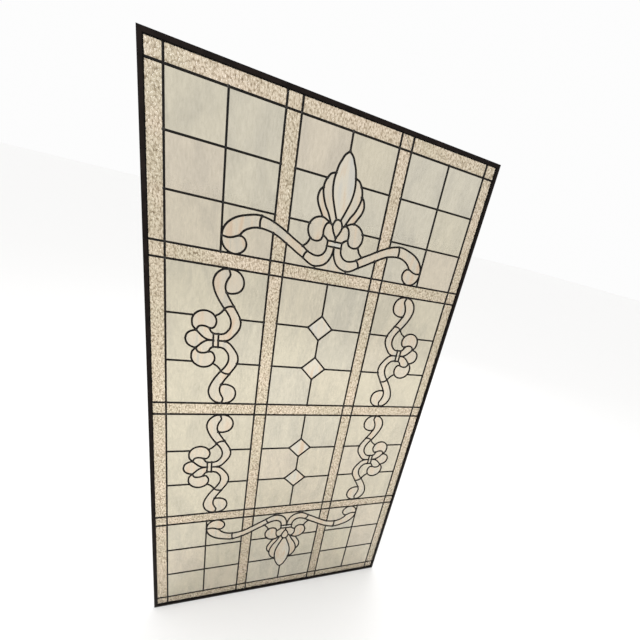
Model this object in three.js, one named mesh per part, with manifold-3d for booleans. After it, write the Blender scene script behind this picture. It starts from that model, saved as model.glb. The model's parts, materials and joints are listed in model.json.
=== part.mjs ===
import * as THREE from "three";
import { mergeVertices } from "three/addons/utils/BufferGeometryUtils.js";
import Module from "manifold-3d";

// Sizes in millimetres. X runs to the right as seen from the front, Z runs up and the front faces -Y.

// Channel frame
const railFace = 12;
const railDepth = 10;
const grooveDepth = 8;

// Lead came and glass
const cameFace = 5;
const cameDepth = 6;
const glassThickness = 3.2;
const clearance = 0.3;

// Widths, from the middle of the panel outwards
const centreHalf = 130;
const bandWidth = 36;
const sidePane = 123;
const borderStrip = 33;

// Heights
const middleBand = 38;
const middleRow = 131.2;
const crossBand = 37;
const topRow = 111;
const bottomRow = 120.8;

// Ornament
const tipGap = 42;
const diamondHalf = 37.5;
const ribbonTuck = 2;
const scrollWidth = 138.5;
const scrollTuck = 1.8;

const rowsPerSection = 3;
const halves = [-1, 1];
const bandX = centreHalf + bandWidth;
const sideX = bandX + sidePane;
const borderX = sideX + sidePane;
const sightX = borderX + borderStrip;
const middleU = middleBand / 2;
const bandLowU = middleU + rowsPerSection * middleRow;
const bandHighU = bandLowU + crossBand;
const topBorderU = bandHighU + rowsPerSection * topRow;
const bottomBorderU = -bandHighU - rowsPerSection * bottomRow;
const topSightU = topBorderU + borderStrip;
const bottomSightU = bottomBorderU - borderStrip;
const centreHeight = railFace - bottomSightU;
const crestHeight = rowsPerSection * topRow - tipGap;

const wasm = await Module();
wasm.setup();

function solid(geometry) {
  geometry.deleteAttribute("normal");
  geometry.deleteAttribute("uv");
  const merged = mergeVertices(geometry, 1e-4);
  const vertProperties = merged.attributes.position.array;
  const triVerts = Uint32Array.from(merged.index.array);
  return new wasm.Manifold(new wasm.Mesh({ numProp: 3, vertProperties, triVerts }));
}

// An upright plate with the given outline, from the depth front to the depth back.
function plate(outline, front, back) {
  const settings = { depth: back - front, bevelEnabled: false };
  const flat = new THREE.ExtrudeGeometry(new THREE.Shape(outline), settings);
  flat.rotateX(Math.PI / 2);
  flat.translate(0, back, centreHeight);
  return solid(flat);
}

function rectangle(left, low, right, high) {
  const corners = [[left, low], [right, low], [right, high], [left, high]];
  return corners.map(([x, u]) => new THREE.Vector2(x, u));
}

// The outline of a strip that follows a line of points. It runs past both ends by a share of its width.
function band({ points, share }, width) {
  const near = [];
  const far = [];
  const last = points.length - 1;
  points.forEach((point, i) => {
    const before = points[Math.max(i - 1, 0)];
    const after = points[Math.min(i + 1, last)];
    const along = after.clone().sub(before).normalize();
    const across = new THREE.Vector2(-along.y, along.x).multiplyScalar(width / 2);
    const past = (i === last ? share : 0) - (i === 0 ? share : 0);
    const centre = along.multiplyScalar(past * width).add(point);
    near.push(centre.clone().add(across));
    far.unshift(centre.clone().sub(across));
  });
  return [...near, ...far];
}

// Full leads part two pieces of glass. Face leads lie on the front of glass that is one piece in this model.
const fullLeads = [];
const faceLeads = [];

function straight(leads, x0, u0, x1, u1) {
  leads.push({ points: [new THREE.Vector2(x0, u0), new THREE.Vector2(x1, u1)], share: 0.5 });
}

function bothSides(leads, x0, u0, x1, u1) {
  halves.forEach((side) => straight(leads, side * x0, u0, side * x1, u1));
}

// A smooth lead through a few points, given as x and y in turn, placed by a function of the drawing.
function curved(leads, place, coordinates) {
  const points = [];
  for (let i = 0; i < coordinates.length; i += 2) {
    points.push(place(coordinates[i], coordinates[i + 1]));
  }
  leads.push({ points: new THREE.SplineCurve(points).getPoints(points.length - 1), share: 0.35 });
}

// The fleur's right half with its ribbon, as smooth leads through points. Each point is x from the panel's middle
// and h from the cross band's outer edge.
const fleurDrawing = [
  // Middle leaf, petals, lobe, bud and lower leaf
  [fullLeads, 0, 291, 17, 269, 27, 239, 29, 203, 20.5, 170, 7, 134],
  [fullLeads, 27, 239, 46.5, 223, 53.6, 199],
  [faceLeads, 53.6, 199, 47, 171, 31, 144],
  [fullLeads, 31, 144, 19, 121],
  [fullLeads, 53.6, 199, 64.5, 175, 59, 155, 44.5, 132],
  [fullLeads, 22, 122, 47, 131.5, 72, 118, 78, 97, 69, 75.5, 51, 71, 36.5, 86],
  [fullLeads, 0, 134, 9, 129, 14, 117],
  [fullLeads, 14, 117, 22, 122],
  [fullLeads, 22, 122, 35, 109, 35.5, 88],
  [fullLeads, 35.5, 88, 28, 84, 20.5, 77],

  // Clasp
  [fullLeads, 0, 78, 20.5, 78],
  [fullLeads, 0, 65, 20.5, 65],
  [fullLeads, 20.5, 65, 20.5, 78],

  // Ribbon with its joints, its curl and the tie under it
  [fullLeads, 20.5, 65, 28, 41, 48, 34, 87, 51.5, 148, 84.5, 200, 101, 248, 90, 281, 62, 287, 36],
  [fullLeads, 0, 63, 12, 24, 44, 6, 82, 22, 130, 49.5, 166, 67, 205, 72, 232, 61, 246, 46],
  [fullLeads, 246, 46, 232, 38, 229, 24, 238, 8.5, 258, 1, 279, 11, 287, 36],
  [fullLeads, 44, 0, 44, 6],
];

// One end of the scroll. Each point is x from the side field's middle and v from the section's middle.
const scrollDrawing = [
  [fullLeads, -23, 195, 2, 185, 13.5, 158, 4, 125, -18, 90, -35.5, 57, -29, 29, -6, 19],
  [fullLeads, -20, 134, -40, 101, -60.5, 63, -51, 24, -23, 1],
  [fullLeads, -23, 195, -46, 192, -62, 172, -59, 150, -41, 135, -20, 134],
  [fullLeads, 18, 34, 5, 37, 1, 55, 12, 74, 33, 80.5, 54, 69, 61, 50, 58, 35, 50, 25],
  [fullLeads, 18, 34, 14, 25, 7, 19],
  [fullLeads, 50, 25, 64, 21, 73.5, 12, 76.5, 0],
  [fullLeads, -6, 19, 7, 19],
];

// How far a drawing reaches, measured from its own points
function reachOf(drawing) {
  const numbers = drawing.map(([, ...coordinates]) => coordinates);
  const across = numbers.flatMap((line) => line.filter((_, i) => i % 2 === 0));
  const along = numbers.flatMap((line) => line.filter((_, i) => i % 2 === 1));
  return { right: Math.max(...across), width: Math.max(...across) - Math.min(...across), top: Math.max(...along) };
}

// The leaf's tip lies at the crest's height, and the ribbon's end tucks under the lead in the side field's middle.
const fleurReach = reachOf(fleurDrawing);
function crestPlace(side, up, x, h) {
  const across = (x * (sideX - ribbonTuck)) / fleurReach.right;
  return new THREE.Vector2(side * across, up * (bandHighU + (h * crestHeight) / fleurReach.top));
}

// The scroll's two ends tuck under the leads above and below its section.
const scrollReach = reachOf(scrollDrawing);
const scrollHalf = (rowsPerSection * middleRow) / 2;
const scrollMiddleU = middleU + scrollHalf;
function scrollPlace(side, up, turn, x, v) {
  const across = sideX + (x * scrollWidth) / scrollReach.width;
  const along = (turn * v * (scrollHalf - scrollTuck)) / scrollReach.top;
  return new THREE.Vector2(side * across, up * scrollMiddleU + along);
}

// Border lines, bands and their crossings
halves.forEach((side) => {
  [centreHalf, bandX, borderX].forEach((x) => {
    straight(fullLeads, side * x, middleU, side * x, bandLowU);
    straight(fullLeads, side * x, -bandLowU, side * x, -middleU);
    straight(faceLeads, side * x, -middleU, side * x, middleU);
    straight(faceLeads, side * x, bandLowU, side * x, bandHighU);
    straight(faceLeads, side * x, -bandHighU, side * x, -bandLowU);
    straight(faceLeads, side * x, topBorderU, side * x, topSightU - cameFace);
    straight(faceLeads, side * x, bottomBorderU, side * x, bottomSightU + cameFace);
  });
  straight(fullLeads, side * borderX, bandHighU, side * borderX, topBorderU);
  straight(fullLeads, side * borderX, bottomBorderU, side * borderX, -bandHighU);
});
const levels = [bottomBorderU, -bandHighU, -bandLowU, -middleU, middleU, bandLowU, bandHighU, topBorderU];
levels.forEach((level) => {
  straight(fullLeads, -centreHalf, level, centreHalf, level);
  bothSides(fullLeads, bandX, level, borderX, level);
  bothSides(faceLeads, centreHalf, level, bandX, level);
  bothSides(faceLeads, borderX, level, sightX - cameFace, level);
});

// Sections above and below the cross bands, with the fleur and its two ribbons. The row leads beside the fleur
// start at the fleur's edge, at innerEdges in its drawing.
function crestSection(up, row, innerEdges) {
  const height = rowsPerSection * row;
  const at = (h) => up * (bandHighU + h);
  halves.forEach((side) => {
    const place = (x, h) => crestPlace(side, up, x, h);
    const bandTop = (x, h) => place(x, h).y;

    straight(faceLeads, side * sideX, at(0), side * sideX, at(height));
    straight(fullLeads, side * centreHalf, bandTop(130, 76), side * centreHalf, at(height));
    straight(fullLeads, side * bandX, bandTop(166, 93), side * bandX, at(height));
    straight(fullLeads, side * centreHalf, at(0), side * centreHalf, bandTop(130, 49.5));
    straight(fullLeads, side * bandX, at(0), side * bandX, bandTop(166, 67));
    [1, 2].forEach((n) => straight(faceLeads, side * bandX, at(n * row), side * borderX, at(n * row)));
    innerEdges.forEach((edge, i) => {
      const level = at((i + 1) * row);
      straight(faceLeads, place(edge, 0).x, level, side * centreHalf, level);
    });

    fleurDrawing.forEach(([leads, ...coordinates]) => curved(leads, place, coordinates));
  });
  const tip = new THREE.Vector2(0, at(crestHeight));
  straight(faceLeads, 0, tip.y, 0, at(height));
}
crestSection(1, topRow, [78, 48]);
crestSection(-1, bottomRow, [70, 27]);

// Sections beside the middle band, with a scroll in each side field and two diamonds in the centre field
halves.forEach((up) => {
  const middle = up * scrollMiddleU;
  halves.forEach((side) => {
    halves.forEach((turn) => {
      const place = (x, v) => scrollPlace(side, up, turn, x, v);
      const row = middle + (turn * middleRow) / 2;
      scrollDrawing.forEach(([leads, ...coordinates]) => curved(leads, place, coordinates));
      straight(faceLeads, place(57, 0).x, row, side * borderX, row);
      straight(faceLeads, side * bandX, row, place(-60, 0).x, row);
      straight(faceLeads, side * diamondHalf, row, side * centreHalf, row);
    });
  });
  halves.forEach((turn) => {
    const level = middle + (turn * middleRow) / 2;
    bothSides(fullLeads, 0, level - diamondHalf, diamondHalf, level);
    bothSides(fullLeads, 0, level + diamondHalf, diamondHalf, level);
  });
  straight(faceLeads, 0, middle - middleRow / 2 + diamondHalf, 0, middle + middleRow / 2 - diamondHalf);
  straight(faceLeads, 0, middle + middleRow / 2 + diamondHalf, 0, middle + 1.5 * middleRow);
  straight(faceLeads, 0, middle - 1.5 * middleRow, 0, middle - middleRow / 2 - diamondHalf);
});

const union = (solids) => wasm.Manifold.union(solids);
const cameHalf = cameDepth / 2;
const glassHalf = glassThickness / 2;
const slotHalf = glassHalf + clearance;

const full = fullLeads.map((lead) => plate(band(lead, cameFace), -cameHalf, cameHalf));
const frontFace = faceLeads.map((lead) => plate(band(lead, cameFace), -cameHalf, -slotHalf));
const came = union([...full, ...frontFace]).asOriginal();

const cuts = fullLeads.map((lead) => plate(band(lead, cameFace + 2 * clearance), -cameHalf, cameHalf));
const bite = grooveDepth - clearance;
const sheetOutline = rectangle(-sightX - bite, bottomSightU - bite, sightX + bite, topSightU + bite);
const sheet = plate(sheetOutline, -glassHalf, glassHalf);
const panes = sheet.subtract(union(cuts)).asOriginal().decompose();

const root = new THREE.Group();

function add(name, shape, finish) {
  const mesh = shape.getMesh();
  const geometry = new THREE.BufferGeometry();
  geometry.setAttribute("position", new THREE.BufferAttribute(mesh.vertProperties, 3));
  geometry.setIndex(new THREE.BufferAttribute(mesh.triVerts, 1));
  const faceted = geometry.toNonIndexed();
  faceted.computeVertexNormals();
  const piece = new THREE.Mesh(faceted, new THREE.MeshStandardMaterial(finish));
  piece.name = name;
  root.add(piece);
}

// Frame: four grooved rails, mitred at the corners
const mitreGap = clearance / Math.SQRT2;
const outerX = sightX + railFace;
const headU = topSightU + railFace;
const sillU = bottomSightU - railFace;
const grooveX = sightX + grooveDepth;
const grooveOutline = rectangle(-grooveX, bottomSightU - grooveDepth, grooveX, topSightU + grooveDepth);
const groove = plate(grooveOutline, -slotHalf, slotHalf);
const frameFinish = { color: 0x2c2523, roughness: 0.5, metalness: 0.7 };

function rail(name, corners) {
  const outline = corners.map(([x, u]) => new THREE.Vector2(x, u));
  add(name, plate(outline, -railDepth / 2, railDepth / 2).subtract(groove).asOriginal(), frameFinish);
}

function levelRail(name, outerU, innerU) {
  const outer = outerX - mitreGap;
  const inner = sightX - mitreGap;
  rail(name, [[-outer, outerU], [outer, outerU], [inner, innerU], [-inner, innerU]]);
}

function uprightRail(name, side) {
  const outer = [side * outerX, sillU + mitreGap, headU - mitreGap];
  const inner = [side * sightX, bottomSightU + mitreGap, topSightU - mitreGap];
  rail(name, [[outer[0], outer[1]], [outer[0], outer[2]], [inner[0], inner[2]], [inner[0], inner[1]]]);
}

levelRail("frame_head", headU, topSightU);
levelRail("frame_sill", sillU, bottomSightU);
uprightRail("frame_jamb_left", -1);
uprightRail("frame_jamb_right", 1);

add("lead_came", came, { color: 0x14110d, roughness: 0.4, metalness: 0.8 });

// Glass: each piece of the cut sheet is named by a spot that lies on it.
const clearGlass = { color: 0xdcd6c6, roughness: 0.05, metalness: 0, transparent: true, opacity: 0.35 };
const texturedGlass = { color: 0xd8c4ae, roughness: 0.3, metalness: 0, transparent: true, opacity: 0.5 };

function pane(name, x, u, finish = clearGlass) {
  const spot = plate(rectangle(x - 1, u - 1, x + 1, u + 1), -1, 1);
  const piece = panes.find((candidate) => !candidate.intersect(spot).isEmpty());
  add(name, piece, finish);
}

const sideName = (side) => (side < 0 ? "left" : "right");
const outerSpot = borderX - 2 * cameFace;
pane("textured_surround", sightX - borderStrip / 2, 0, texturedGlass);

[["top", 1], ["bottom", -1]].forEach(([section, up]) => {
  const crestPane = (name, x, h) => {
    const spot = crestPlace(1, up, x, h);
    pane(section + "_" + name, spot.x, spot.y);
  };
  crestPane("fleur_leaf", 0, 220);
  crestPane("fleur_base", 2, 88);
  crestPane("clasp", 0, 71.5);
  crestPane("under_clasp", 0, 20);
  halves.forEach((side) => {
    crestPane("fleur_petals_" + sideName(side), side * 40, 200);
    crestPane("lobe_" + sideName(side), side * 55, 100);
    crestPane("ribbon_" + sideName(side), side * 215, 86);
    crestPane("under_ribbon_inner_" + sideName(side), side * 112, 15);
    crestPane("under_ribbon_outer_" + sideName(side), side * 190, 25);
    pane(section + "_side_field_" + sideName(side), side * outerSpot, up * (bandHighU + topRow / 2));
  });
  crestPane("centre_field", 100, 160);
});

[["upper", 1], ["lower", -1]].forEach(([section, up]) => {
  const middle = up * scrollMiddleU;
  halves.forEach((side) => {
    const scrollPane = (name, x, v) => {
      const spot = scrollPlace(side, up, 1, x, v);
      pane(section + "_" + name + "_" + sideName(side), spot.x, spot.y);
    };
    scrollPane("scroll", -17, 115);
    pane(section + "_border_field_" + sideName(side), side * outerSpot, middle + up * middleRow);
    pane(section + "_band_field_" + sideName(side), side * (bandX + 2 * cameFace), middle + up * middleRow);
  });
  pane(section + "_centre_field", centreHalf - 2 * cameFace, middle);
  pane(section + "_diamond_high", 0, middle + middleRow / 2);
  pane(section + "_diamond_low", 0, middle - middleRow / 2);
});

export default root;
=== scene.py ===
import json
import math
import random
from collections import Counter

import bmesh
import bpy
from mathutils import Matrix, Vector, noise
from mathutils.bvhtree import BVHTree
from mathutils.geometry import delaunay_2d_cdt


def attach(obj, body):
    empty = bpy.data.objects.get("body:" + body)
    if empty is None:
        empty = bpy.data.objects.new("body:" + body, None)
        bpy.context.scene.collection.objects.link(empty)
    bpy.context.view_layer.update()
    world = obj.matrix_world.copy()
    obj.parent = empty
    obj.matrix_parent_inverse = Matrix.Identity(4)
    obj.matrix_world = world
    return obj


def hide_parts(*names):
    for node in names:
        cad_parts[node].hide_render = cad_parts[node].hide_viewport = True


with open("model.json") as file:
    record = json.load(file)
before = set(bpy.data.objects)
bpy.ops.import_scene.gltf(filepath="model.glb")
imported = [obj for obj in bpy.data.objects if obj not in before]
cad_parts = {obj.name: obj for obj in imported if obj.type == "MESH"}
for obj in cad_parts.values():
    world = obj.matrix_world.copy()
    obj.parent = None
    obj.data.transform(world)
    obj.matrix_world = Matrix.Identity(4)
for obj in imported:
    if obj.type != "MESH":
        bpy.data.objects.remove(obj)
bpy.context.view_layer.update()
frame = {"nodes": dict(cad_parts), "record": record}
mm = 0.001
random.seed(11)

# The panel's drawing, in millimetres: x to the right, u up from the middle of the middle band.
panel = {
    "centreHalf": 130.0,
    "bandX": 166.0,
    "sideX": 289.0,
    "borderX": 412.0,
    "sightX": 445.0,
    "middleU": 19.0,
    "bandLowU": 412.6,
    "bandHighU": 449.6,
    "topBorderU": 782.6,
    "bottomBorderU": -812.0,
    "topSightU": 815.6,
    "bottomSightU": -845.0,
    "rows": 3,  # of panes between two bands
    "middleRow": 131.2,
    "topRow": 111.0,
    "bottomRow": 120.8,
    "diamondHalf": 37.5,
    "tipHeight": 291.0,
    "railFace": 12.0,
    "railDepth": 10.0,
    "grooveDepth": 8.0,
    "grooveWidth": 3.8,
    "centreHeight": 857.0,
}
scrollMiddle = panel["middleU"] + panel["rows"] / 2 * panel["middleRow"]
sides = (-1, 1)

# Where straight leads end, in the same millimetres.
leadEnds = {
    "underRail": 4.0,
    "ribbon": {"centreHalf": (49.5, 76), "bandX": (67, 93)},  # below and above the crest's ribbon
    "crest": {"topRow": (76, 47.5), "bottomRow": (69.5, 27)},  # at its first and second row
    "lobe": 347.5,
    "curl": 229,
}
curveSpacing = 3.2
leadLines = []


def smoothLine(points):
    if len(points) < 3:
        return points
    knots = [Vector(p) for p in points]
    knots = [2 * knots[0] - knots[1], *knots, 2 * knots[-1] - knots[-2]]
    line = []
    for a, b, c, d in zip(knots, knots[1:], knots[2:], knots[3:]):
        steps = max(2, round((c - b).length / curveSpacing))
        for i in range(steps):
            t = i / steps
            square = (2 * a - 5 * b + 4 * c - d) * t * t
            cube = (3 * b - a - 3 * c + d) * t ** 3
            line.append(0.5 * (2 * b + (c - a) * t + square + cube))
    line.append(knots[-2])
    return [(p.x, p.y) for p in line]


def straightLead(x0, u0, x1, u1):
    leadLines.append([(x0, u0), (x1, u1)])


def mirroredLead(x0, u0, x1, u1):
    for side in sides:
        straightLead(side * x0, u0, side * x1, u1)


def curvedLead(numbers, place):
    points = [place(x, y) for x, y in zip(numbers[::2], numbers[1::2])]
    leadLines.append(smoothLine(points))


# The right half of the crest: x and height over the band, point after point.
crestCurves = [
    # middle leaf
    (0, 291, 11, 281, 17, 269, 22.5, 257, 26.5, 240, 29.3, 222, 29, 203, 25.5, 184, 20.5, 169,
     14, 152, 6.5, 133.5),
    # inner petal
    (27.5, 238, 39, 233, 46.5, 223, 51.5, 212, 53.5, 199, 52, 187, 47.5, 173, 40.5, 158,
     31, 144, 19, 120.5),
    # outer petal
    (53.5, 199, 60, 193, 64, 182, 64.5, 171, 60.5, 158.5, 52, 144, 44.5, 131.5),
    # lobe
    (22, 122, 36, 129.5, 47, 131.7, 62, 127, 72, 118, 77.5, 107, 78.3, 96, 76, 86.5, 69, 75.5,
     59, 71.3, 48, 72, 40, 77, 35.4, 88),
    # bud
    (0, 133.5, 6.5, 132, 10.5, 126, 14, 117),
    (14, 117, 10.8, 106, 5, 95, 0, 88.5),
    (0, 88.5, 0, 78),
    (14, 117, 22, 122),
    # lower leaf
    (22, 122, 29.5, 119, 34.5, 110, 36.3, 99, 35.4, 88),
    (35.4, 88, 28, 84.5, 20.5, 78),
    (69, 75.5, 75.5, 62, 86.5, 51.5),
    # clasp
    (0, 78, 20.5, 78),
    (0, 64, 20.5, 64),
    (20.5, 64, 20.5, 78),
    # ribbon
    (20.5, 64, 22.5, 51, 29, 41, 37, 35.8, 47.5, 34, 60, 36.5, 72, 41.5, 86.5, 51.5, 110, 64,
     130, 75.5, 148, 85, 166, 93, 182, 98, 200, 101, 214, 100, 230, 96, 248, 90, 262, 82.5,
     274, 72.5, 282.5, 61, 287, 49, 288, 38.5),
    (0, 64, 2, 46, 7, 32, 14, 21, 23, 13.5, 34, 9, 46, 6.5, 56, 8, 67, 13, 81.5, 22, 101, 32.5,
     117, 42, 130.5, 49.5, 147, 59, 166, 67.3, 183, 71, 198, 72.5, 209, 71.5, 221, 68, 233, 61.5,
     241, 54, 246, 46),
    # curl
    (246, 46, 236, 42, 230, 33, 229, 24, 232, 15, 238, 8, 247, 2, 257, 0.3, 269, 3, 279, 10,
     285.5, 20, 288, 30, 288, 38.5),
    (246, 46, 255, 42.3, 263, 38.7, 274, 36.5, 288, 38.5),
    # leads across the ribbon and under it
    (72, 41.5, 79, 32, 81.5, 22),
    (197, 101, 200.5, 88, 200, 72.5),
    (46, 0, 46, 6.5),
]

# The upper right quarter of the side scrolls: x and height over the scroll's middle.
scrollCurves = [
    # ribbon
    (266, 195, 280, 192.5, 292, 183.5, 299, 172.5, 302.5, 158, 300.5, 143.5, 295.5, 129.5,
     287, 113, 277.5, 98.5, 271.3, 90, 263, 79.5, 255.5, 65.5, 253, 51, 256, 36.5, 265.7, 23.8,
     275, 19.5, 283, 19),
    (266, 195, 262, 180.5, 268, 167.5, 272, 155.5, 272, 144, 269, 134.5),
    (269, 134.5, 261, 120, 248.5, 100, 239.5, 85.5, 231, 70, 227.5, 53.5, 231, 36.5, 242, 19,
     254, 5.5, 266, 0),
    (266, 0, 283, 0),
    # curl
    (266, 195, 252, 194.5, 239, 188.5, 230, 177, 227, 163, 230, 149, 238.5, 139, 252, 133.5,
     262, 133, 269, 134.5),
    (271.3, 92, 261, 98, 248.3, 99.5),
    (292, 70, 282, 77, 271.3, 90),
    # lobe
    (307, 34, 299, 34.5, 293.5, 40, 290, 51, 291.5, 62, 299, 73.5, 310, 79.5, 322, 80.7,
     334, 77, 344, 68.5, 349.5, 57, 350, 45, 347.5, 35, 339, 25),
    (307, 34, 316, 38, 327.6, 38.5, 335, 34.5, 339, 25),
    # leaf
    (339, 25, 332, 17.5, 323, 8.5, 311, 1.5, 296, 0),
    (307, 34, 302.6, 24.5, 296, 19),
    # petal
    (339, 25, 348, 23, 356.5, 18.5, 362.8, 11, 365.5, 0),
    # clasp
    (283, 19, 296, 19),
    (283, 0, 283, 19),
    (296, 0, 296, 19),
]


def drawBorders():
    low = panel["bottomSightU"] - leadEnds["underRail"]
    high = panel["topSightU"] + leadEnds["underRail"]
    reach = panel["sightX"] + leadEnds["underRail"]
    for name, (under, over) in leadEnds["ribbon"].items():
        x = panel[name]
        mirroredLead(x, -panel["bandHighU"] - under, x, panel["bandHighU"] + under)
        mirroredLead(x, panel["bandHighU"] + over, x, high)
        mirroredLead(x, low, x, -panel["bandHighU"] - over)
    mirroredLead(panel["borderX"], low, panel["borderX"], high)
    for level in (panel["topBorderU"], panel["bottomBorderU"]):
        straightLead(-reach, level, reach, level)
    for name in ("bandHighU", "bandLowU", "middleU"):
        for up in sides:
            straightLead(-reach, up * panel[name], reach, up * panel[name])


def drawCrest(up, rowName):
    row = panel[rowName]
    base = up * panel["bandHighU"]
    end = base + up * panel["rows"] * row
    mirroredLead(panel["sideX"], base, panel["sideX"], end)
    straightLead(0, base + up * panel["tipHeight"], 0, end)
    for count, edge in enumerate(leadEnds["crest"][rowName], 1):
        level = base + up * count * row
        mirroredLead(panel["bandX"], level, panel["borderX"], level)
        mirroredLead(edge, level, panel["centreHalf"], level)
    for side in sides:
        for numbers in crestCurves:
            if side > 0 or not numbers[0] == numbers[2] == 0:  # once on the mirror line
                curvedLead(numbers, lambda x, h: (side * x, up * (panel["bandHighU"] + h)))


def drawMiddle(up):
    middle = up * scrollMiddle
    half = panel["middleRow"] / 2
    diamond = panel["diamondHalf"]
    for turn in sides:
        level = middle + turn * half
        mirroredLead(leadEnds["lobe"], level, panel["borderX"], level)
        mirroredLead(panel["bandX"], level, leadEnds["curl"], level)
        mirroredLead(diamond, level, panel["centreHalf"], level)
        for way in sides:
            mirroredLead(0, level + way * diamond, diamond, level)
        straightLead(0, level + turn * diamond, 0, middle + turn * panel["rows"] * half)
        for side in sides:
            for numbers in scrollCurves:
                if turn > 0 or not numbers[1] == numbers[3] == 0:  # once on the mirror line
                    curvedLead(numbers, lambda x, v: (side * x, middle + turn * v))
    straightLead(0, middle - half + diamond, 0, middle + half - diamond)


drawBorders()
for up, rowName in ((1, "topRow"), (-1, "bottomRow")):
    drawCrest(up, rowName)
    drawMiddle(up)
print("drawn", len(leadLines), "lead lines")


def standUp(flat):
    turn = Matrix.Rotation(math.radians(90), 4, "X")
    lift = Matrix.Translation((0, 0, panel["centreHeight"] * mm))
    flat.transform(lift @ turn)


def linkedObject(name, data):
    thing = bpy.data.objects.new(name, data)
    bpy.context.scene.collection.objects.link(thing)
    return thing


def addPiece(name, mesh, material, slotName, *nodes):
    piece = linkedObject(name, mesh)
    mesh.materials.clear()
    mesh.materials.append(material)
    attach(piece, "root")
    if nodes:
        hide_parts(*nodes)
    return piece


def newMaterial(name):
    material = bpy.data.materials.new(name)
    material.use_nodes = True
    tree = material.node_tree
    shader = tree.nodes["Principled BSDF"]
    return material, tree, shader


def setValues(node, values):
    for key, value in values.items():
        if key in node.inputs:
            node.inputs[key].default_value = value
        else:
            setattr(node, key, value)


def addNode(tree, kind, **values):
    node = tree.nodes.new(kind)
    setValues(node, values)
    return node


def objectCoordinates(tree, stretch=(1, 1, 1)):
    place = addNode(tree, "ShaderNodeTexCoord")
    mapping = addNode(tree, "ShaderNodeMapping", Scale=stretch)
    tree.links.new(place.outputs["Object"], mapping.inputs["Vector"])
    return mapping.outputs["Vector"]


def attribute(tree, name):
    return addNode(tree, "ShaderNodeAttribute", attribute_name=name).outputs["Fac"]


def colorRamp(tree, factor, stops):
    ramp = addNode(tree, "ShaderNodeValToRGB")
    elements = ramp.color_ramp.elements
    while len(elements) < len(stops):
        elements.new(0.5)
    for element, (place, color) in zip(elements, stops):
        element.position = place
        element.color = (*color, 1)
    tree.links.new(factor, ramp.inputs["Fac"])
    return ramp.outputs["Color"]


def linkNoise(tree, vector, scale, detail, roughness=0.5):
    cloud = addNode(tree, "ShaderNodeTexNoise", Scale=scale, Detail=detail, Roughness=roughness)
    tree.links.new(vector, cloud.inputs["Vector"])
    return cloud


def linkRange(tree, value, low, high):
    spread = addNode(tree, "ShaderNodeMapRange", **{"To Min": low, "To Max": high})
    tree.links.new(value, spread.inputs["Value"])
    return spread.outputs["Result"]


def multiplied(tree, first, second):
    mix = addNode(tree, "ShaderNodeMix", data_type="RGBA", blend_type="MULTIPLY", Factor=1.0)
    tree.links.new(first, mix.inputs[6])  # the mix node's two colours, by number,
    tree.links.new(second, mix.inputs[7])  # as its other inputs have the same names
    return mix.outputs[2]


def addBump(tree, shader, height, strength, distance, under=None):
    bump = addNode(tree, "ShaderNodeBump", Strength=strength, Distance=distance)
    tree.links.new(height, bump.inputs["Height"])
    if under:
        tree.links.new(under, bump.inputs["Normal"])
    tree.links.new(bump.outputs["Normal"], shader.inputs["Normal"])
    return bump.outputs["Normal"]


# Of the metals, cloud and grain hold a noise's scale, detail and roughness.
leadLook = {
    "shader": {"Metallic": 0.35, "Specular IOR Level": 0.2},
    "cloud": (140, 6, 0.6),
    "tones": [(0.38, (0.002, 0.0015, 0.0012)), (0.78, (0.013, 0.010, 0.008))],
    "roughness": (0.34, 0.55),
    "grain": (600, 3),
    "bump": (0.25, 0.0004),
}
solderLook = {
    "shader": {"Metallic": 0.75},
    "cloud": (260, 4),
    "tones": [(0.4, (0.010, 0.009, 0.008)), (0.8, (0.075, 0.070, 0.064))],
    "roughness": (0.22, 0.42),
    "grain": (420, 2),
    "bump": (0.35, 0.0005),
}
railLook = {
    "shader": {"Metallic": 0.4, "Specular IOR Level": 0.12},
    "cloud": (45, 8, 0.65),
    "tones": [(0.3, (0.004, 0.0026, 0.0021)), (0.7, (0.015, 0.0098, 0.008))],
    # painted shade: the rail's rounded edges, sides, mitre ends and groove are darkened to about a fifth,
    # while the flat front and back faces keep their colour
    "paintedEdgeShade": [(0.15, (0.18, 0.16, 0.15)), (0.85, (1.0, 1.0, 1.0))],
    "roughness": (0.35, 0.6),
    "grain": (320, 5, 0.7),
    "bump": (0.3, 0.0006),
}


def makeMetal(name, look):
    material, tree, shader = newMaterial(name)
    setValues(shader, look["shader"])
    vector = objectCoordinates(tree)
    cloud = linkNoise(tree, vector, *look["cloud"]).outputs["Fac"]
    color = colorRamp(tree, cloud, look["tones"])
    # a look with painted edge shade multiplies it into the colour
    if "paintedEdgeShade" in look:
        color = multiplied(tree, color, colorRamp(tree, attribute(tree, "paintedEdgeShade"), look["paintedEdgeShade"]))
    tree.links.new(color, shader.inputs["Base Color"])
    tree.links.new(linkRange(tree, cloud, *look["roughness"]), shader.inputs["Roughness"])
    grain = linkNoise(tree, vector, *look["grain"]).outputs["Fac"]
    addBump(tree, shader, grain, *look["bump"])
    return material


glassShader = {"Transmission Weight": 1.0, "IOR": 1.5}
sheetSpan = 40  # how far apart on the sheet two panes can be cut

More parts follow.
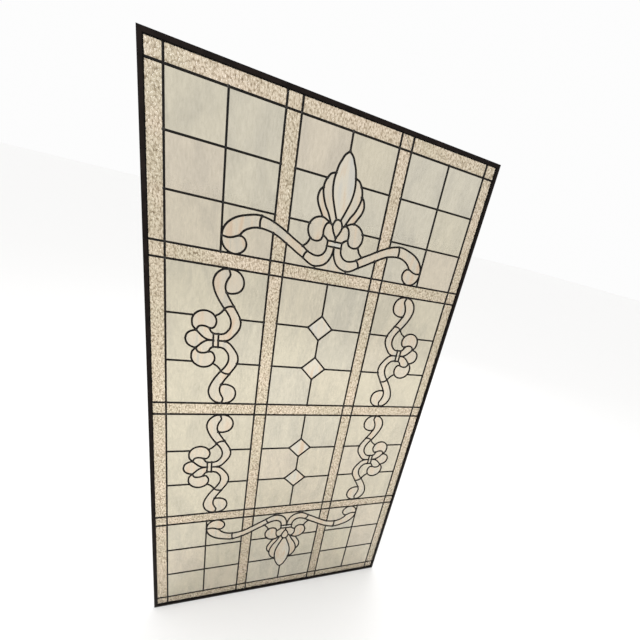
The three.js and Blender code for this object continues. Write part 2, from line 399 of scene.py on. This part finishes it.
# Of the glasses, a pane's noise holds stretch, scale, detail, roughness and distortion.
hammeredLook = {
    "roughness": 0.06,
    "stretch": (1.0, 1.0, 0.6),
    "warp": (150, 2),
    "shift": (0.006, 0.006, 0.006),
    "pebbles": {"Scale": 285.0, "Smoothness": 0.3},
    # painted shade: the tones run from light pebble middles to dark hollows between them, standing in for
    # the dark that refraction shows there
    "tones": [(0.20, (0.93, 0.84, 0.70)), (0.52, (0.72, 0.62, 0.475)), (0.80, (0.27, 0.205, 0.13))],
    "drift": ((1, 1, 1), 9, 2),
    "driftTones": [(0.35, (0.90, 0.90, 0.84)), (0.65, (1.0, 0.96, 0.93))],
    "bump": (1.0, 0.0011),
}
fieldLook = {
    "roughness": 0.03,
    "tones": [(0.0, (0.715, 0.635, 0.505)), (0.5, (0.70, 0.64, 0.495)), (1.0, (0.685, 0.635, 0.515))],
    "streaks": ((1, 1, 0.30), 210, 4, 0.6, 0.6),
    "streakTones": [(0.34, (0.84, 0.84, 0.83)), (0.64, (1.0, 1.0, 1.0))],
    "streakBump": (0.5, 0.0009),
    "bands": ((1, 1, 0.34), 22, 3, 0.5, 0.7),
    "bandTones": [(0.36, (0.89, 0.895, 0.91)), (0.58, (1.0, 1.0, 1.0))],
    "ripples": ((1, 1, 0.45), 150, 3, 0.5, 0.8),
    "rippleBump": (0.25, 0.0009),
}
smoothLook = {
    "roughness": 0.02,
    "swirls": ((1, 1, 0.16), 62, 3, 0.5, 0.8),
    "waves": ((1, 1, 1), 38, 2),
}
ornamentLook = {
    "tones": [(0.30, (0.66, 0.505, 0.36)), (0.48, (0.69, 0.61, 0.48)), (0.68, (0.575, 0.535, 0.445))],
    "bump": (0.4, 0.0005),
}
bevelledLook = {
    "tones": [(0.30, (0.66, 0.50, 0.35)), (0.48, (0.71, 0.65, 0.53)), (0.68, (0.60, 0.585, 0.53))],
    "bump": (0.4, 0.0003),
}


def newGlass(name, roughness):
    material, tree, shader = newMaterial(name)
    setValues(shader, {**glassShader, "Roughness": roughness})
    return material, tree, shader


def eachPaneNoise(tree, stretch, scale, detail, roughness=0.5, distortion=0.0):
    cloud = addNode(tree, "ShaderNodeTexNoise", noise_dimensions="4D", Scale=scale, Detail=detail,
                    Roughness=roughness, Distortion=distortion)
    tree.links.new(objectCoordinates(tree, stretch), cloud.inputs["Vector"])
    tree.links.new(linkRange(tree, attribute(tree, "paneTone"), 0, sheetSpan), cloud.inputs["W"])
    return cloud.outputs["Fac"]


def makeHammeredGlass():
    material, tree, shader = newGlass("hammeredGlass", hammeredLook["roughness"])
    vector = objectCoordinates(tree, hammeredLook["stretch"])
    warp = linkNoise(tree, vector, *hammeredLook["warp"])
    shifted = addNode(tree, "ShaderNodeVectorMath", operation="MULTIPLY_ADD")
    shifted.inputs[1].default_value = hammeredLook["shift"]
    tree.links.new(warp.outputs["Color"], shifted.inputs[0])
    tree.links.new(vector, shifted.inputs[2])
    pebbles = addNode(tree, "ShaderNodeTexVoronoi", feature="SMOOTH_F1", **hammeredLook["pebbles"])
    tree.links.new(shifted.outputs["Vector"], pebbles.inputs["Vector"])
    # painted shade: dark in the hollows between the pebbles
    color = colorRamp(tree, pebbles.outputs["Distance"], hammeredLook["tones"])
    drift = eachPaneNoise(tree, *hammeredLook["drift"])
    cast = colorRamp(tree, drift, hammeredLook["driftTones"])
    tree.links.new(multiplied(tree, color, cast), shader.inputs["Base Color"])
    raised = addNode(tree, "ShaderNodeMath", operation="SUBTRACT")
    raised.inputs[0].default_value = 1.0
    tree.links.new(pebbles.outputs["Distance"], raised.inputs[1])
    addBump(tree, shader, raised.outputs["Value"], *hammeredLook["bump"])
    return material


def makeFieldGlass():
    material, tree, shader = newGlass("waterGlass", fieldLook["roughness"])
    tone = colorRamp(tree, attribute(tree, "paneTone"), fieldLook["tones"])
    streaks = eachPaneNoise(tree, *fieldLook["streaks"])
    shade = colorRamp(tree, streaks, fieldLook["streakTones"])
    bands = eachPaneNoise(tree, *fieldLook["bands"])
    broad = colorRamp(tree, bands, fieldLook["bandTones"])
    tree.links.new(multiplied(tree, multiplied(tree, tone, shade), broad), shader.inputs["Base Color"])
    ripples = eachPaneNoise(tree, *fieldLook["ripples"])
    first = addBump(tree, shader, streaks, *fieldLook["streakBump"])
    addBump(tree, shader, ripples, *fieldLook["rippleBump"], under=first)
    return material


def makeSmoothGlass(name, look):
    material, tree, shader = newGlass(name, smoothLook["roughness"])
    swirls = eachPaneNoise(tree, *smoothLook["swirls"])
    tree.links.new(colorRamp(tree, swirls, look["tones"]), shader.inputs["Base Color"])
    waves = eachPaneNoise(tree, *smoothLook["waves"])
    addBump(tree, shader, waves, *look["bump"])
    return material


leadMaterial = makeMetal("patinatedLead", leadLook)
solderMaterial = makeMetal("darkSolder", solderLook)
railMaterial = makeMetal("patinatedRail", railLook)
glassMaterials = {
    "textured_glass": makeHammeredGlass(),
    "streaky_glass": makeFieldGlass(),
    "clear_glass": makeSmoothGlass("ornamentGlass", ornamentLook),
    "bevelled_glass": makeSmoothGlass("bevelledGlass", bevelledLook),
}
print("made the materials")

paneCut = {
    "thickness": 3.2,
    "gap": 0.8,
    "intoGroove": 7.7,
    "leadReach": 1.5,
    "merge": 0.05,
    "bevelWidth": {"diamond": 7.5, "clasp": 3.6, "leaf": 4.0},
    "bevelDepth": 1.1,
    "probeStart": -0.1,  # metres in front of the glass, and how far the probe looks
    "probeLength": 0.2,
}


def stretched(line, reach):
    first, second = Vector(line[0]), Vector(line[1])
    last, before = Vector(line[-1]), Vector(line[-2])
    start = first + (first - second).normalized() * reach
    end = last + (last - before).normalized() * reach
    return [tuple(start), *line[1:-1], tuple(end)]


def leadWalls(edges, sources):
    walls = {tuple(sorted(edge)) for edge, source in zip(edges, sources) if source}
    while True:  # ends of leads that run past the line they meet divide nothing
        count = Counter(i for wall in walls for i in wall)
        loose = {wall for wall in walls if 1 in (count[wall[0]], count[wall[1]])}
        if not loose:
            return walls, count
        walls -= loose


def cutRegions():
    low = panel["bottomSightU"] - paneCut["intoGroove"]
    high = panel["topSightU"] + paneCut["intoGroove"]
    reach = panel["sightX"] + paneCut["intoGroove"]
    rim = [(-reach, low), (reach, low), (reach, high), (-reach, high), (-reach, low)]
    points, edges = [], []
    for line in [rim, *(stretched(line, paneCut["leadReach"]) for line in leadLines)]:
        for i, point in enumerate(line):
            points.append(Vector(point))
            if i:
                edges.append((len(points) - 2, len(points) - 1))
    verts, cutEdges, faces, _, sources, _ = delaunay_2d_cdt(points, edges, [], 0, paneCut["merge"])
    walls, count = leadWalls(cutEdges, sources)
    sheet = bmesh.new()
    corners = [sheet.verts.new((v.x, v.y, 0)) for v in verts]
    for face in faces:
        sheet.faces.new([corners[i] for i in face])
    sheet.verts.index_update()
    inner = [e for e in sheet.edges if len(e.link_faces) == 2
             and tuple(sorted((e.verts[0].index, e.verts[1].index))) not in walls]
    bmesh.ops.dissolve_edges(sheet, edges=inner, use_verts=False, use_face_split=False)
    return sheet, [Vector(verts[i]) for i, leads in sorted(count.items()) if leads > 2]


sheet, meetings = cutRegions()
print("cut the sheet into", len(sheet.faces), "panes")


def nodeTrees():
    trees = {}
    for name, cadNode in frame["nodes"].items():
        if name.startswith("frame_") or name == "lead_came":
            continue
        shape = bmesh.new()
        shape.from_mesh(cadNode.data)
        trees[name] = BVHTree.FromBMesh(shape)
        shape.free()
    return trees


def nodeUnder(trees, spot):
    start = Vector((spot.x * mm, paneCut["probeStart"], spot.y * mm + panel["centreHeight"] * mm))
    for name, tree in trees.items():
        if tree.ray_cast(start, Vector((0, 1, 0)), paneCut["probeLength"])[0]:
            return name
    start.y = 0
    near = {name: tree.find_nearest(start)[3] for name, tree in trees.items()}
    return min(near, key=near.get)


def spotOn(face, triangles):
    if len(face.verts) <= 4:
        return face.calc_center_median_weighted()
    corners = [[loop.vert.co for loop in tri] for tri in triangles]
    biggest = max(corners, key=lambda t: (t[1] - t[0]).cross(t[2] - t[0]).length)
    return sum(biggest, Vector()) / 3


def panesByNode(trees):
    sheet.faces.index_update()
    triangles = {}
    for tri in sheet.calc_loop_triangles():
        triangles.setdefault(tri[0].face.index, []).append(tri)
    groups = {}
    for face in sheet.faces:
        name = nodeUnder(trees, spotOn(face, triangles[face.index]))
        groups.setdefault(name, []).append(face.index)
    return groups


trees = nodeTrees()
groups = panesByNode(trees)
slotOf = {part["node"]: part["material_slot"] for part in frame["record"]["subparts"]}
print("panes lie on", len(groups), "of", len(trees), "glass nodes")


def everything(part):
    return [*part.verts, *part.edges, *part.faces]


def faceFront(faces):
    for face in faces:
        if face.normal.z < 0:
            face.normal_flip()


def raiseFaces(part, height):
    raised = bmesh.ops.extrude_face_region(part, geom=list(part.faces), use_keep_orig=True)
    tops = [g for g in raised["geom"] if isinstance(g, bmesh.types.BMFace)]
    verts = {v for f in tops for v in f.verts}
    bmesh.ops.translate(part, verts=list(verts), vec=(0, 0, height))
    return tops


def finishedMesh(name, part):
    bmesh.ops.scale(part, verts=part.verts, vec=(mm, mm, mm))
    mesh = bpy.data.meshes.new(name)
    part.to_mesh(mesh)
    part.free()
    standUp(mesh)
    return mesh


def flatPanes(wanted):
    part = sheet.copy()
    part.faces.ensure_lookup_table()
    others = [face for face in part.faces if face.index not in wanted]
    bmesh.ops.delete(part, geom=others, context="FACES")
    bmesh.ops.split_edges(part, edges=[e for e in part.edges if len(e.link_faces) > 1])
    inset = bmesh.ops.inset_individual(part, faces=list(part.faces), thickness=paneCut["gap"],
                                       use_even_offset=False)
    bmesh.ops.delete(part, geom=inset["faces"], context="FACES")
    faceFront(part.faces)
    tone = part.verts.layers.float.new("paneTone")
    for face in part.faces:
        paneTone = random.random()
        for vert in face.verts:
            vert[tone] = paneTone
    return part


def finishPanes(name, part):
    bmesh.ops.triangulate(part, faces=[f for f in part.faces if len(f.verts) > 4])
    mesh = finishedMesh(name + "Panes", part)
    slotName = slotOf[name]
    return addPiece(name + "_panes", mesh, glassMaterials[slotName], slotName, name)


def bevelWidth(name):
    if slotOf[name] != "bevelled_glass":
        return 0
    return next((width for kind, width in paneCut["bevelWidth"].items() if kind in name), 0)


def makePanes(name, wanted):
    part = flatPanes(wanted)
    width = bevelWidth(name)
    bevelDepth = paneCut["bevelDepth"] if width else 0
    bmesh.ops.translate(part, verts=part.verts, vec=(0, 0, -paneCut["thickness"] / 2))
    tops = raiseFaces(part, paneCut["thickness"] - bevelDepth)
    if width:
        bmesh.ops.inset_individual(part, faces=tops, thickness=width, depth=bevelDepth,
                                   use_even_offset=True)
    return finishPanes(name, part)


hammered = {
    "cell": 2.4,
    "jitter": 0.22,
    "depth": 0.5,
    "wave": (3.6, 5.4),
    "waveSpan": 60,
    "merge": 0.001,
    "frontNormal": 0.5,
}


def hammeredDepth(x, u, cast):
    wave = noise.noise((x / hammered["wave"][0], u / hammered["wave"][1], cast))
    return hammered["depth"] * (0.5 - 0.5 * wave)


def jitteredPoints(outline):
    cell, jitter = hammered["cell"], hammered["jitter"]
    xs, us = [p.x for p in outline], [p.y for p in outline]
    columns, rows = int((max(xs) - min(xs)) / cell), int((max(us) - min(us)) / cell)
    points = []
    for column in range(1, columns):
        for row in range(1, rows):
            shake = [random.uniform(-jitter, jitter) for _ in range(2)]
            points.append(Vector((min(xs) + (column + shake[0]) * cell, min(us) + (row + shake[1]) * cell)))
    return points


def gridPanes(flat, height):
    flatTone = flat.verts.layers.float["paneTone"]
    part = bmesh.new()
    tone = part.verts.layers.float.new("paneTone")
    for pane in flat.faces:
        outline = [vert.co.to_2d() for vert in pane.verts]
        paneTone = pane.verts[0][flatTone]
        points = outline + jitteredPoints(outline)
        rim = list(range(len(outline)))
        verts, _, faces, *_ = delaunay_2d_cdt(points, [], [rim], 1, hammered["merge"])
        corners = [part.verts.new((v.x, v.y, height)) for v in verts]
        for corner in corners:
            corner[tone] = paneTone
        for face in faces:
            part.faces.new([corners[i] for i in face])
        bmesh.ops.delete(part, geom=[v for v in corners if not v.link_faces], context="VERTS")
    flat.free()
    bmesh.ops.recalc_face_normals(part, faces=part.faces)
    faceFront(part.faces)
    return part, tone


def makeHammeredPanes(name, wanted):
    part, tone = gridPanes(flatPanes(wanted), paneCut["thickness"] / 2)
    for vert in part.verts:
        if not vert.is_boundary:
            vert.co.z -= hammeredDepth(vert.co.x, vert.co.y, hammered["waveSpan"] * vert[tone])
    rim = [e for e in part.edges if e.is_boundary]
    walls = bmesh.ops.extrude_edge_only(part, edges=rim)
    low = [g for g in walls["geom"] if isinstance(g, bmesh.types.BMVert)]
    bmesh.ops.translate(part, verts=low, vec=(0, 0, -paneCut["thickness"]))
    bmesh.ops.holes_fill(part, edges=[e for e in part.edges if e.is_boundary], sides=0)
    bmesh.ops.recalc_face_normals(part, faces=part.faces)
    for face in part.faces:
        face.smooth = face.normal.z > hammered["frontNormal"]
    return finishPanes(name, part)


for name, wanted in groups.items():
    make = makeHammeredPanes if slotOf[name] == "textured_glass" else makePanes
    panes = make(name, set(wanted))
    if slotOf[name] == "textured_glass":
        print(panes.name, "has", len(panes.data.polygons), "faces")
print("made the panes")

came = {
    "face": 5.0,
    "depth": 6.0,
    "web": 1.2,
    "glassSlot": 3.3,
    "domeAngles": (22, 55, 90),
    "merge": 1e-6,  # metres
    "sharpAngle": 50,
}


def flatCurve(name, lines, closed):
    curve = bpy.data.curves.new(name, "CURVE")
    curve.dimensions = "2D"
    for line in lines:
        spline = curve.splines.new("POLY")
        spline.points.add(len(line) - 1)
        for point, (x, y) in zip(spline.points, line):
            point.co = (x * mm, y * mm, 0, 1)
        spline.use_cyclic_u = closed
    return linkedObject(name, curve)


def cameOutline():
    web, slot, wing = came["web"] / 2, came["glassSlot"] / 2, came["face"] / 2
    dome = came["depth"] / 2 - slot
    right = [(web, slot), (wing, slot)]
    for angle in came["domeAngles"]:
        turn = math.radians(angle)
        right.append((wing * math.cos(turn), slot + dome * math.sin(turn)))
    corner = right[:-1]
    ring = right + [(-x, y) for x, y in reversed(corner)] + [(-x, -y) for x, y in corner]
    return ring + [(0.0, -came["depth"] / 2)] + [(x, -y) for x, y in reversed(corner)]


def makeCame():
    profile = flatCurve("cameProfile", [cameOutline()], True)
    drawn = flatCurve("cameLines", [stretched(line, came["web"] / 2) for line in leadLines], False)
    drawn.data.fill_mode = "NONE"
    drawn.data.bevel_mode = "OBJECT"
    drawn.data.bevel_object = profile
    drawn.data.use_fill_caps = True
    bpy.context.view_layer.update()
    mesh = bpy.data.meshes.new_from_object(drawn.evaluated_get(bpy.context.evaluated_depsgraph_get()))
    for helper in (drawn, profile):
        bpy.data.objects.remove(helper)
    standUp(mesh)
    network = bmesh.new()
    network.from_mesh(mesh)
    bmesh.ops.remove_doubles(network, verts=network.verts, dist=came["merge"])
    bmesh.ops.recalc_face_normals(network, faces=network.faces)
    network.to_mesh(mesh)
    network.free()
    mesh.name = "cameNetwork"
    for face in mesh.polygons:
        face.use_smooth = True
    addPiece("lead_came_network", mesh, leadMaterial, "lead", "lead_came")
    mesh.set_sharp_from_angle(angle=math.radians(came["sharpAngle"]))
    mesh.calc_loop_triangles()
    print("came has", len(mesh.loop_triangles), "triangles")


makeCame()

solder = {
    "radius": 3.6,
    "uneven": 0.13,
    "sides": 12,
    "base": 1.65,
    "skirt": 1.0,
    "shoulder": (0.5, 0.45),  # inwards, and up
    "crown": (1.4, 0.3),
    "apart": 6.0,
    "sharpAngle": 70,
}


def solderSpots():
    low, high = panel["bottomSightU"] + solder["radius"], panel["topSightU"] - solder["radius"]
    spots = []
    for meeting in meetings:
        inside = abs(meeting.x) < panel["sightX"] - solder["radius"] and low < meeting.y < high
        if inside and all((meeting - spot).length > solder["apart"] for spot in spots):
            spots.append(meeting)
    return spots


def makeSolder():
    drops = bmesh.new()
    for spot in solderSpots():
        radius = solder["radius"] * random.uniform(1 - solder["uneven"], 1 + solder["uneven"])
        place = Matrix.Translation((spot.x, spot.y, solder["base"]))
        bmesh.ops.create_circle(drops, cap_ends=True, radius=radius, segments=solder["sides"], matrix=place)
    bmesh.ops.recalc_face_normals(drops, faces=drops.faces)
    faceFront(drops.faces)
    tops = raiseFaces(drops, solder["skirt"])
    for width, height in (solder["shoulder"], solder["crown"]):
        bmesh.ops.inset_individual(drops, faces=tops, thickness=width, depth=height, use_even_offset=True)
    copied = bmesh.ops.duplicate(drops, geom=everything(drops))
    behind = [g for g in copied["geom"] if isinstance(g, bmesh.types.BMVert)]
    bmesh.ops.scale(drops, verts=behind, vec=(1, 1, -1))
    bmesh.ops.recalc_face_normals(drops, faces=drops.faces)
    for face in drops.faces:
        face.smooth = True
    mesh = finishedMesh("solderJoints", drops)
    mesh.set_sharp_from_angle(angle=math.radians(solder["sharpAngle"]))
    print("solder joints have", len(mesh.polygons), "faces")
    addPiece("solder_joints", mesh, solderMaterial, "lead")


makeSolder()

rails = {
    "spareLength": 40,  # cut away again by the mitres
    "edgeRound": 2.6,
    "roundSteps": 4,
    "roundProfile": 0.5,
    "mitreGap": 0.21,
    "diagonal": 1.414,
    "innerNormal": 0.9,
    "atEdge": 0.01,
    "flatFaceWithin": 0.05,
}


def railBar(length):
    rail = bmesh.new()
    bmesh.ops.create_cube(rail, size=1.0)
    face, depth = panel["railFace"], panel["railDepth"]
    bmesh.ops.scale(rail, verts=rail.verts, vec=(length + rails["spareLength"], face, depth))
    bmesh.ops.translate(rail, verts=rail.verts, vec=(0, -face / 2, 0))
    inner = [f for f in rail.faces if f.normal.y > rails["innerNormal"]]
    lip = (depth - panel["grooveWidth"]) / 2
    bmesh.ops.inset_region(rail, faces=inner, thickness=lip, use_even_offset=True)
    pushed = bmesh.ops.extrude_face_region(rail, geom=inner)
    floor = [v for v in pushed["geom"] if isinstance(v, bmesh.types.BMVert)]
    bmesh.ops.translate(rail, verts=floor, vec=(0, -panel["grooveDepth"], 0))
    bmesh.ops.delete(rail, geom=inner, context="FACES")
    longEdges = [e for e in rail.edges if abs((e.verts[0].co - e.verts[1].co).x) > length
                 and all(abs(abs(v.co.z) - depth / 2) < rails["atEdge"] for v in e.verts)]
    bmesh.ops.bevel(rail, geom=longEdges, offset=rails["edgeRound"], offset_type="OFFSET",
                    segments=rails["roundSteps"], profile=rails["roundProfile"], affect="EDGES",
                    material=-1, clamp_overlap=True)
    # painted shade: verts on the flat front and back faces get 1 and all others get 0, which the rail's
    # ramp turns dark
    paintedEdgeShade = rail.verts.layers.float.new("paintedEdgeShade")
    for vert in rail.verts:
        vert[paintedEdgeShade] = 1.0 if abs(vert.co.z) > depth / 2 - rails["flatFaceWithin"] else 0.0
    return rail


def cutMitres(rail, length):
    for end in sides:
        x = end * (length / 2 - rails["diagonal"] * rails["mitreGap"] / 2)
        spot = Vector((x, -panel["railFace"], 0))
        normal = Vector((end, 1, 0)).normalized()
        cut = bmesh.ops.bisect_plane(rail, geom=everything(rail), plane_co=spot, plane_no=normal,
                                     clear_outer=True)
        rim = [e for e in cut["geom_cut"] if isinstance(e, bmesh.types.BMEdge)]
        bmesh.ops.contextual_create(rail, geom=rim)
    bmesh.ops.recalc_face_normals(rail, faces=rail.faces)


def makeRail(name, length, turn, place):
    rail = railBar(length)
    cutMitres(rail, length)
    bmesh.ops.triangulate(rail, faces=[f for f in rail.faces if len(f.verts) > 4])
    bmesh.ops.rotate(rail, verts=rail.verts, matrix=Matrix.Rotation(math.radians(turn), 3, "Z"))
    bmesh.ops.translate(rail, verts=rail.verts, vec=(*place, 0))
    addPiece(name + "_rail", finishedMesh(name + "Rail", rail), railMaterial, "frame_metal", name)


railsMiddle = (panel["topSightU"] + panel["bottomSightU"]) / 2
fullWidth = 2 * (panel["sightX"] + panel["railFace"])
fullHeight = panel["topSightU"] - panel["bottomSightU"] + 2 * panel["railFace"]
makeRail("frame_sill", fullWidth, 0, (0, panel["bottomSightU"]))
makeRail("frame_head", fullWidth, 180, (0, panel["topSightU"]))
makeRail("frame_jamb_left", fullHeight, -90, (-panel["sightX"], railsMiddle))
makeRail("frame_jamb_right", fullHeight, 90, (panel["sightX"], railsMiddle))
print("made the rails")

stage = {
    "size": 60.0,
    "floor": (0.965, 0.962, 0.955),
    "floorRoughness": 0.9,
    "world": (1.0, 1.0, 1.0),
    "worldStrength": 0.98,
    "lightTarget": (0, 0, 0.8),
}


def makeStage():
    ground = bmesh.new()
    bmesh.ops.create_grid(ground, x_segments=1, y_segments=1, size=stage["size"])
    mesh = bpy.data.meshes.new("paleFloor")
    ground.to_mesh(mesh)
    ground.free()
    floor = linkedObject("paleFloor", mesh)
    material, _, shader = newMaterial("paleFloor")
    setValues(shader, {"Base Color": (*stage["floor"], 1), "Roughness": stage["floorRoughness"]})
    mesh.materials.append(material)
    world = bpy.data.worlds.new("softSky")
    world.use_nodes = True
    sky = world.node_tree.nodes["Background"]
    setValues(sky, {"Color": (*stage["world"], 1), "Strength": stage["worldStrength"]})
    bpy.context.scene.world = world


def makeLight(name, place, size, power):
    data = bpy.data.lights.new(name, "AREA")
    data.shape = "DISK"
    data.size = size
    data.energy = power
    lamp = linkedObject(name, data)
    lamp.location = place
    aim = Vector(stage["lightTarget"]) - Vector(place)
    lamp.rotation_euler = aim.to_track_quat("-Z", "Y").to_euler()
    lamp.visible_camera = False
    lamp.visible_transmission = False
    return lamp


makeStage()
makeLight("softKey", (-2.2, -2.6, 3.2), size=2.2, power=60)
softBack = makeLight("softBack", (1.6, 2.6, 2.6), size=2.0, power=22)
softBack.visible_glossy = False  # no glare in the glass
print("made the stage and the lights")

view = {
    "place": (-0.3639, -1.0899, 1.4565),
    "turn": (63.780, -12.875, -22.733),
    "lens": 21.545,
    "sensor": 36,
    "shift": (-0.0798, 0.1403),
}


def makeCamera():
    data = bpy.data.cameras.new("frontCamera")
    data.sensor_fit = "HORIZONTAL"
    data.sensor_width = view["sensor"]
    data.lens = view["lens"]
    data.shift_x, data.shift_y = view["shift"]
    camera = linkedObject("frontCamera", data)
    camera.location = view["place"]
    camera.rotation_euler = [math.radians(angle) for angle in view["turn"]]
    bpy.context.scene.camera = camera


makeCamera()
bpy.context.scene.view_settings.view_transform = "Standard"
bpy.context.view_layer.update()
